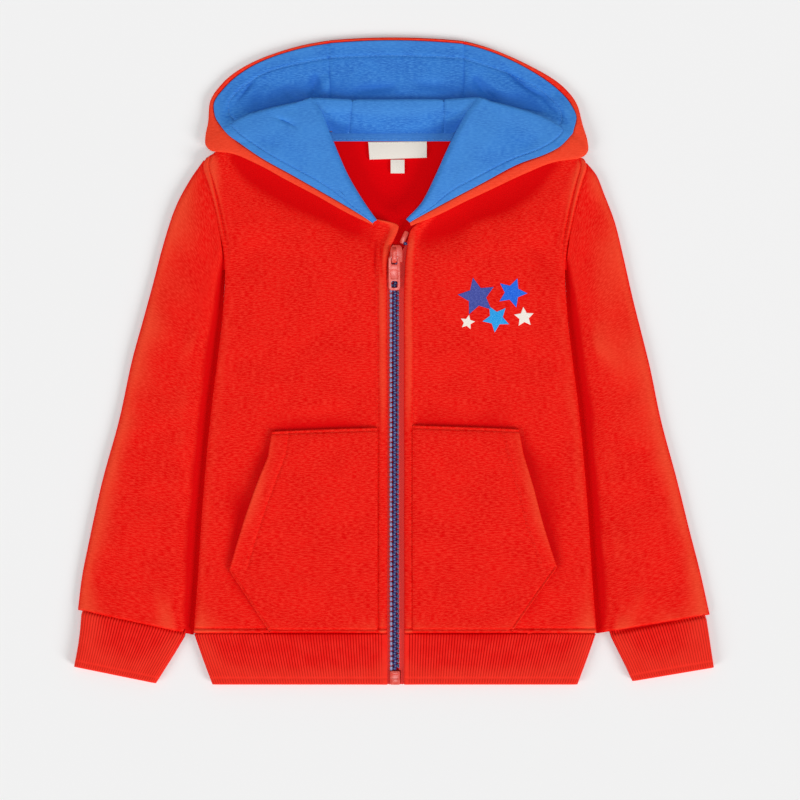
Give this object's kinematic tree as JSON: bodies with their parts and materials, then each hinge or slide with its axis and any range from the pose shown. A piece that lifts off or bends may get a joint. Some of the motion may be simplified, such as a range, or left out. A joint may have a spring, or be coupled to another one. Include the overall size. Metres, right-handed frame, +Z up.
{
  "type": "child's hooded zip-front sweatshirt laid flat",
  "caption": "Child's hooded sweatshirt with a full-length zip, laid flat on its back, with ribbed cuffs and hem, slanted front pockets and a lined hood folded open.",
  "frame": {"origin": "on the flat underside of the back, under the centre front line, level with the middle of the body panels' height", "axes": "+X towards the garment's left sleeve as the viewer sees it on the right, +Y from the hem towards the hood, +Z up from the surface it lies on"},
  "size_m": [0.4744, 0.4796, 0.0138],
  "materials": {
    "fleece": "brushed sweatshirt fleece, matte",
    "rib": "ribbed knit, matte",
    "jersey": "fine cotton jersey, matte",
    "label": "woven satin label, soft sheen",
    "zip_tape": "woven tape, matte",
    "zip_teeth": "moulded, satin",
    "zip_plastic": "moulded, satin"
  },
  "bodies": {
    "garment": {"back": "fleece", "front_left": "fleece", "front_right": "fleece", "sleeve_left": "fleece", "sleeve_right": "fleece", "cuff_left": "rib", "cuff_right": "rib", "pocket_left": "fleece", "pocket_right": "fleece", "hem_rib": "rib", "hood_left": "fleece", "hood_right": "fleece", "hood_centre": "fleece", "lining_left": "jersey", "lining_right": "jersey", "lining_centre": "jersey", "neck_tape": "jersey", "label": "label", "size_tab": "label", "zip_tape_left": "zip_tape", "zip_tape_right": "zip_tape", "zip_chain": "zip_teeth", "zip_box": "zip_plastic", "zip_stop_left": "zip_plastic", "zip_stop_right": "zip_plastic", "slider": "zip_plastic"},
    "pull_tab": {"pull_tab": "zip_plastic"}
  },
  "joints": [
    {"name": "pull_tab_hinge", "type": "hinge", "parent": "garment", "child": "pull_tab", "pos_m": [-0.0005, 0.0765, 0.00945], "axis": [-1, 0, 0], "range_deg": [0, 150]}
  ]
}
